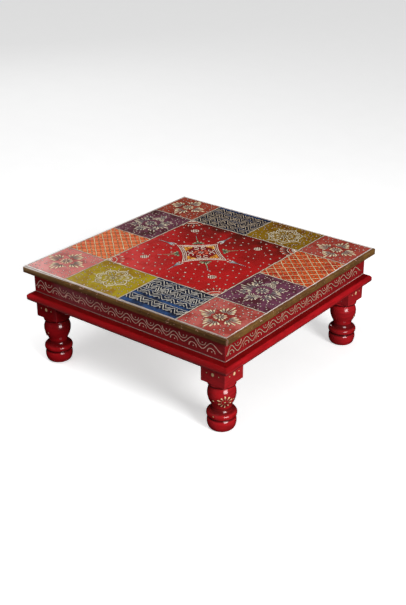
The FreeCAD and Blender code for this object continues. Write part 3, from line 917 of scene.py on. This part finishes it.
def draw_vines():
    """The running vine on all four aprons, with an arch under each crest and a cup in each hollow."""
    ruled = Relief()
    for side in SIDES:
        ruled.place = on_apron(side)
        low_line = MOULDING_TOP + 0.9
        path = wobbly(complex(-APRON_HALF + 1, low_line), complex(APRON_HALF - 1, low_line), sway=0.08)
        ruled.stroke(path, 1.1, 0.3)
        vine = Relief(on_apron(side))
        facing = side in ("front", "back")
        knots = VINE_FRONT if facing else VINE_RIGHT
        s = np.arange(knots[0][0], knots[-1][0], 1.5)
        depth = []
        for value in s:
            for (a, za), (b, zb) in zip(knots, knots[1:]):
                if a <= value <= b:
                    depth.append(za + (zb - za) * (0.5 - 0.5 * math.cos(math.pi * (value - a) / (b - a))))
                    break
        slender, way = (0.94, 1) if facing else (0.72, -1)
        vine.stroke(s + 1j * (TOP + np.array(depth)), [1.4 * slender * uneven(0.06) for _ in s], 0.38)

        def curl(centre, rights, ups, widths):
            vine.stroke([centre + complex(way * right, up) for right, up in zip(rights, ups)],
                        [width * slender for width in widths], 0.36)

        for k, (along, level) in enumerate(knots[1:-1], 1):
            centre = complex(along, TOP)
            if k % 2:
                curl(centre, (-6.6, -5.9, -3.4, 0, 3.4, 5.6, 6.6),
                     (-35.0, -32.2, -29.9, -29.2, -30.2, -32.4, -35.4), (2.3, 1.9, 1.4, 1.3, 1.3, 1.1, 0.9))
                vine.dot(centre + complex(way * 0.9, -34.2), 1.1, 0.36)
            else:
                curl(centre, (-6.8, -6.2, -3.8, 0, 3.6, 6.0, 7.0),
                     (-22.2, -24.8, -27.6, -28.5, -27.6, -25.2, -22.4), (2.5, 2.0, 1.4, 1.3, 1.3, 1.1, 0.9))
                vine.dot(centre + complex(way * 0.8, -24.4), 1.1, 0.36)
        # Painted light and shade: the front and back vines take the lighter copy of the vine paint
        vine.finish("vine_" + side, pink if facing else tan)
    ruled.finish("apron_lines", lilac)


TURNED_HEIGHT = 66
DAISY_RADIUS = 18.0


def draw_leg_flowers():
    """Dots on the blocks and a daisy on the urn of every leg."""
    heights = np.array([(z / MM, math.hypot(x / MM - LEG_PLACE, y / MM + LEG_PLACE)) for x, y, z in
                        (v.co for v in NODES["leg_front_right"].data.vertices) if z / MM < TURNED_HEIGHT])
    heights = heights[np.lexsort((heights[:, 1], heights[:, 0]))]

    def radius_at(z):
        near = heights[np.abs(heights[:, 0] - z) < 1.6]
        return near[:, 1].max() if len(near) else 20.0

    for index, corner in enumerate(CORNERS):
        turn = index * math.pi / 2

        def on_leg(points, rise, turn=turn):
            # The first coordinate is the distance round the leg from its outward corner
            angle = points.real / DAISY_RADIUS - math.pi / 4
            radius = np.array([radius_at(z) for z in points.imag]) + rise
            x = LEG_PLACE + radius * np.cos(angle)
            y = -LEG_PLACE + radius * np.sin(angle)
            return np.c_[x * math.cos(turn) - y * math.sin(turn), x * math.sin(turn) + y * math.cos(turn),
                         points.imag]

        daisy = Relief(on_leg)
        middle = complex(-1.4 if corner == "front_left" else 1.6, 50.0)
        daisy.rosette(middle, 4.2, 9.4, 10, 2.0, turn=18)
        daisy.dot(middle, 1.2, 0.2)
        for around, height, radius in ((-13.8, 50.4, 1.1), (14.6, 52.4, 0.8), (-12.6, 26.4, 0.55)):
            daisy.dot(complex(around, height), radius, 0.32)
        daisy.finish("daisy_" + corner, frame_cream)
        for side in (SIDES[index], SIDES[(index + 1) % 4]):
            block = Relief(on_apron(side))
            s = LEG_PLACE if side == SIDES[index] else -LEG_PLACE
            for shift in (-10.5, 10.5):
                block.dot(complex(s + shift, 92), 0.85, 0.32)
            block.dot(complex(s, 92), 2.9, 0.5, squash=0.86, turn=90, sides=12)
            block.finish("block_dots_" + corner + "_" + side, frame_cream)


draw_borders()
small_dots = draw_corner_sprays()
draw_mandalas(small_dots)
draw_florals(small_dots)
draw_lattices()
draw_chevrons()
draw_star()
draw_field_dots(small_dots)
small_dots.finish("top_dots", pale)
draw_vines()
draw_leg_flowers()


# Stage: floor, light and camera

def aim(thing, place, target=(0, 0, 0.08)):
    direction = Vector(target) - Vector(place)
    thing.location = place
    thing.rotation_euler = direction.to_track_quat("-Z", "Y").to_euler()


def softbox(name, azimuth, elevation, distance, width, height, power):
    """A rectangular light; azimuth 0 stands in front of the table, 90 to its right."""
    lamp = bpy.data.lights.new(name, "AREA")
    lamp.shape, lamp.size, lamp.size_y = "RECTANGLE", width, height
    lamp.energy = power
    thing = bpy.data.objects.new(name, lamp)
    bpy.context.scene.collection.objects.link(thing)
    a, e = math.radians(azimuth), math.radians(elevation)
    aim(thing, (distance * math.sin(a) * math.cos(e), -distance * math.cos(a) * math.cos(e),
                distance * math.sin(e)))
    return thing


softbox("overhead", -25, 72, 1.3, 0.8, 0.7, 6.4).visible_glossy = False
softbox("key_right", 74, 26, 2.0, 0.7, 0.7, 31).visible_glossy = False
softbox("glint_right", 66, 13, 2.0, 0.9, 0.5, 12.5).visible_diffuse = False
softbox("fill_left", -16, 10, 2.0, 1.2, 0.6, 2.0).visible_glossy = False
softbox("rim_left", 240, 27.2, 2.18, 0.4, 0.3, 2.0)

world = bpy.data.worlds.new("studio")
world.use_nodes = True
sky = world.node_tree
heading = sky.nodes.new("ShaderNodeTexCoord")
split = sky.nodes.new("ShaderNodeSeparateXYZ")
sky.links.new(heading.outputs["Generated"], split.inputs[0])
up = Value(sky, split.outputs[2])
# Even light from around, dimmer from below
plug(sky, sky.nodes["Background"].inputs["Strength"], up.ramp(-0.4, 0.1, 0.11, 0.22))
sky.nodes["Background"].inputs["Color"].default_value = (1, 1, 1, 1)
# The scene has to hold the world before this setting, which tells the scene's world of the change
bpy.context.scene.world = world
world.cycles_visibility.glossy = False

floor_mesh = bpy.data.meshes.new("floor")
floor_mesh.from_pydata([(-20, -20, 0), (20, -20, 0), (20, 20, 0), (-20, 20, 0)], [], [(0, 1, 2, 3)])
floor = bpy.data.objects.new("floor", floor_mesh)
bpy.context.scene.collection.objects.link(floor)
floor_paint = Paint("pale_floor")
floor_mesh.materials.append(floor_paint.finish(
    floor_paint.mix(floor_paint.noise(60, 2, 0.5), srgb(250, 250, 250), srgb(247, 247, 247)), 0.8,
    Emission_Color=(1, 1, 1, 1), Emission_Strength=0.5))
floor.visible_diffuse = floor.visible_glossy = False

AZIMUTH, ELEVATION, ROLL = 0.6677, 0.4543, -0.0028
DISTANCE, SHIFT_RIGHT, SHIFT_UP = 1.5640, 0.00119, -0.07015
FOCAL_PIXELS, PHOTO_WIDTH, PHOTO_HEIGHT, SENSOR = 1020.62, 406, 605, 36.0

camera_data = bpy.data.cameras.new("camera")
camera = bpy.data.objects.new("camera", camera_data)
bpy.context.scene.collection.objects.link(camera)
bpy.context.scene.camera = camera
camera_data.sensor_width = SENSOR
camera_data.lens = FOCAL_PIXELS * SENSOR / max(PHOTO_WIDTH, PHOTO_HEIGHT)
camera_data.clip_start, camera_data.clip_end = 0.05, 30
sin_a, cos_a, sin_e, cos_e = math.sin(AZIMUTH), math.cos(AZIMUTH), math.sin(ELEVATION), math.cos(ELEVATION)
back = Vector((sin_a * cos_e, -cos_a * cos_e, sin_e))
level_right = Vector((cos_a, sin_a, 0))
level_up = back.cross(level_right)
right = level_right * math.cos(ROLL) + level_up * math.sin(ROLL)
up = level_up * math.cos(ROLL) - level_right * math.sin(ROLL)
place = back * DISTANCE + right * SHIFT_RIGHT + up * SHIFT_UP + Vector((0, 0, TOP * MM))
camera.matrix_world = Matrix.Translation(place) @ Matrix((right, up, back)).transposed().to_4x4()

view = bpy.context.scene.view_settings
view.view_transform = "Standard"
